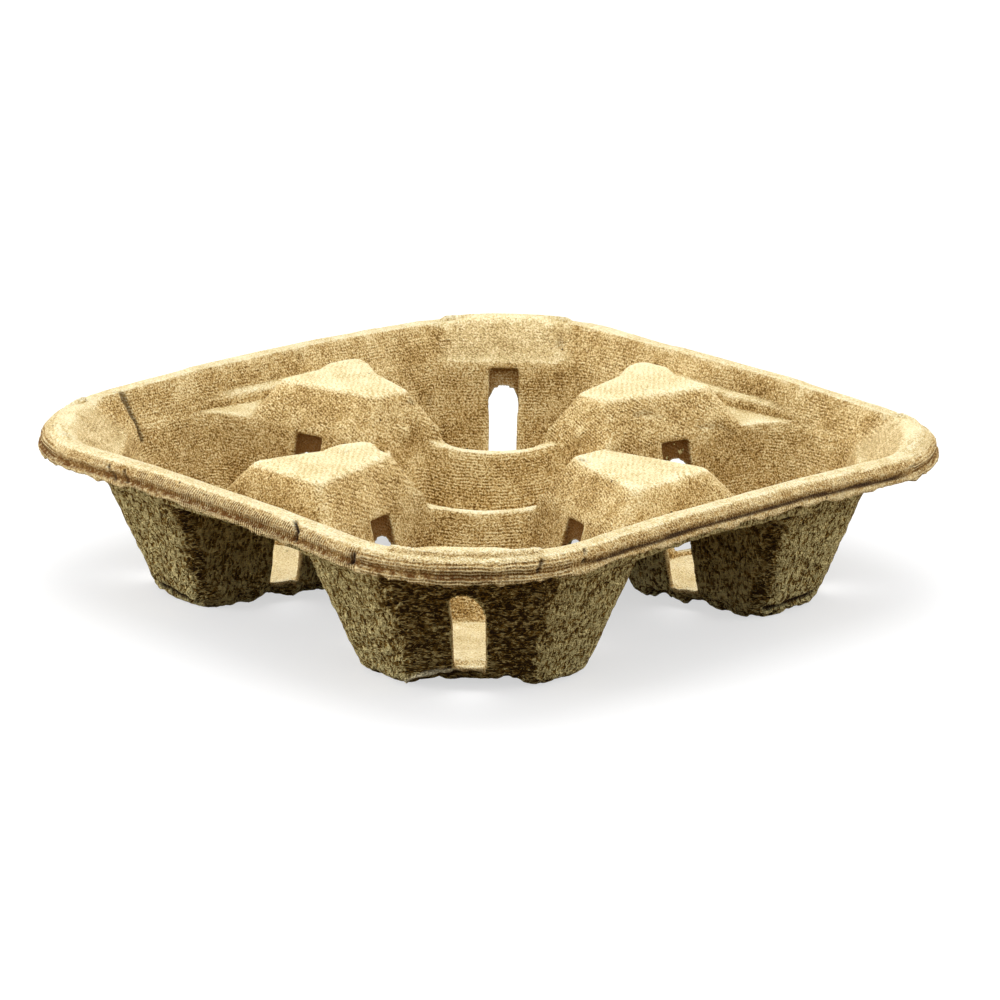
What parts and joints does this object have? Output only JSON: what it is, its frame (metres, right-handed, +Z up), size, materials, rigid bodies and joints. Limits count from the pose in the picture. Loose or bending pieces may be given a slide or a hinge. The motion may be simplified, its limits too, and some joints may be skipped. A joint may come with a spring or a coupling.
{
  "type": "moulded pulp cup carrier",
  "caption": "Square moulded-pulp drinks carrier tray: tapered foot pockets that hold cups, raised blocks between them, a shallow centre dish and a rolled rim.",
  "frame": {"origin": "middle of the footprint, on the surface that the four feet stand on", "axes": "+Z up, out of the open top; +X and +Y towards two neighbouring sides, so that each side has a raised block on its axis and each corner a cup pocket"},
  "size_m": [0.209, 0.209, 0.048],
  "materials": {
    "pulp": "matte"
  },
  "bodies": {
    "root": {"cup_carrier": "pulp"}
  },
  "joints": []
}
